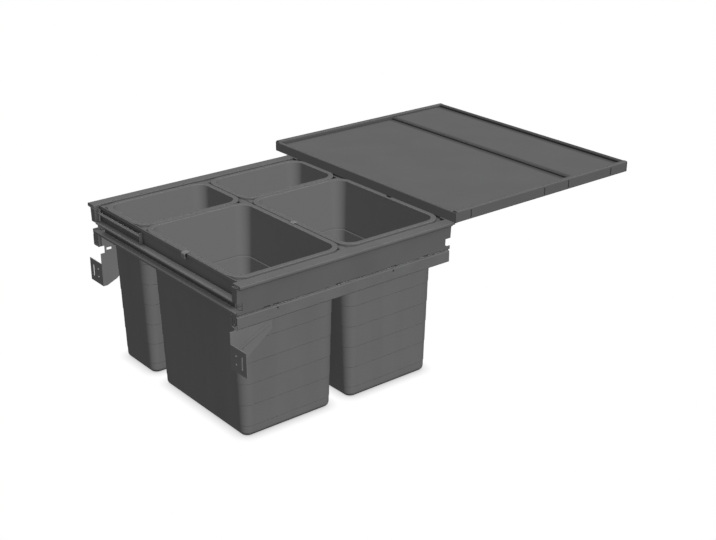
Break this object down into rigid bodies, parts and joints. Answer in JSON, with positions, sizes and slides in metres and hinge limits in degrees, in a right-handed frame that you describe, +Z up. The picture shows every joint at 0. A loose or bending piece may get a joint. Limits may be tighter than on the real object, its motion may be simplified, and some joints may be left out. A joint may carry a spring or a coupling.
{
  "type": "pull-out waste bin unit",
  "caption": "Pull-out waste unit for a base cabinet: folded steel frame on ball runners, lift-out bins in two rows, brackets for the cabinet's front, and a set-back cover lid",
  "frame": {"origin": "centre of the whole unit in plan, at the level of the bins' feet", "axes": "+X to the right as seen from the front, +Y to the back of the cabinet, +Z up"},
  "size_m": [0.562, 0.93, 0.346],
  "materials": {
    "frame": "matt dark grey powder coat",
    "trim": "matt dark grey moulding",
    "rail": "satin grey coated steel",
    "bright": "plain bright steel",
    "bin": "fine-grained dark grey polypropylene",
    "lid": "matt dark grey powder coat"
  },
  "bodies": {
    "cabinet_rails": {"cabinet_rail_left": "rail", "cabinet_rail_right": "rail"},
    "pull_out": {"side_panel_left": "frame", "side_panel_right": "frame", "side_inner_left": "frame", "side_inner_right": "frame", "front_rail_upper": "frame", "front_rail_lower": "frame", "rear_rail_upper": "frame", "rear_rail_lower": "frame", "row_divider": "frame", "column_divider_front": "frame", "column_divider_rear": "frame", "front_bracket_left": "frame", "front_bracket_right": "frame", "end_cap_left": "trim", "end_cap_right": "trim", "front_insert": "trim", "drawer_rail_left": "rail", "drawer_rail_right": "rail", "bracket_rivets": "bright", "rail_rivets": "bright"},
    "lid": {"lid_front_panel": "lid", "lid_rear_panel": "lid", "lid_rail_left": "lid", "lid_rail_right": "lid", "lid_rail_back": "lid"},
    "middle_left": {"middle_rail_left": "rail"},
    "outer_cage_left": {"outer_cage_left": "bright", "outer_balls_left": "bright"},
    "inner_cage_left": {"inner_cage_left": "bright", "inner_balls_left": "bright"},
    "middle_right": {"middle_rail_right": "rail"},
    "outer_cage_right": {"outer_cage_right": "bright", "outer_balls_right": "bright"},
    "inner_cage_right": {"inner_cage_right": "bright", "inner_balls_right": "bright"},
    "large_bin_front": {"large_bin_front": "bin", "rim_clip_front": "bin"},
    "large_bin_rear": {"large_bin_rear": "bin", "rim_clip_rear": "bin"},
    "small_bin_front": {"small_bin_front": "bin"},
    "small_bin_rear": {"small_bin_rear": "bin"}
  },
  "joints": [
    {"name": "pull_out_slide", "type": "slide", "parent": "cabinet_rails", "child": "pull_out", "axis": [0, 1, 0], "range_m": [-0.458, 0]},
    {"name": "outer_cage_left_slide", "type": "slide", "parent": "cabinet_rails", "child": "outer_cage_left", "axis": [0, 1, 0], "range_m": [-0.1145, 0]},
    {"name": "middle_left_slide", "type": "slide", "parent": "cabinet_rails", "child": "middle_left", "axis": [0, 1, 0], "range_m": [-0.229, 0]},
    {"name": "inner_cage_left_slide", "type": "slide", "parent": "cabinet_rails", "child": "inner_cage_left", "axis": [0, 1, 0], "range_m": [-0.3435, 0]},
    {"name": "outer_cage_right_slide", "type": "slide", "parent": "cabinet_rails", "child": "outer_cage_right", "axis": [0, 1, 0], "range_m": [-0.1145, 0]},
    {"name": "middle_right_slide", "type": "slide", "parent": "cabinet_rails", "child": "middle_right", "axis": [0, 1, 0], "range_m": [-0.229, 0]},
    {"name": "inner_cage_right_slide", "type": "slide", "parent": "cabinet_rails", "child": "inner_cage_right", "axis": [0, 1, 0], "range_m": [-0.3435, 0]},
    {"name": "lid_slide", "type": "slide", "parent": "cabinet_rails", "child": "lid", "axis": [0, 1, 0], "range_m": [-0.458, 0]},
    {"name": "large_bin_front_lift", "type": "slide", "parent": "pull_out", "child": "large_bin_front", "axis": [0, 0, 1], "range_m": [0, 0.33]},
    {"name": "large_bin_rear_lift", "type": "slide", "parent": "pull_out", "child": "large_bin_rear", "axis": [0, 0, 1], "range_m": [0, 0.007]},
    {"name": "small_bin_front_lift", "type": "slide", "parent": "pull_out", "child": "small_bin_front", "axis": [0, 0, 1], "range_m": [0, 0.33]},
    {"name": "small_bin_rear_lift", "type": "slide", "parent": "pull_out", "child": "small_bin_rear", "axis": [0, 0, 1], "range_m": [0, 0.007]}
  ],
  "couplings": [
    {"joint": "outer_cage_left_slide", "follows": "pull_out_slide", "ratio": 0.25},
    {"joint": "middle_left_slide", "follows": "pull_out_slide", "ratio": 0.5},
    {"joint": "inner_cage_left_slide", "follows": "pull_out_slide", "ratio": 0.75},
    {"joint": "outer_cage_right_slide", "follows": "pull_out_slide", "ratio": 0.25},
    {"joint": "middle_right_slide", "follows": "pull_out_slide", "ratio": 0.5},
    {"joint": "inner_cage_right_slide", "follows": "pull_out_slide", "ratio": 0.75}
  ]
}
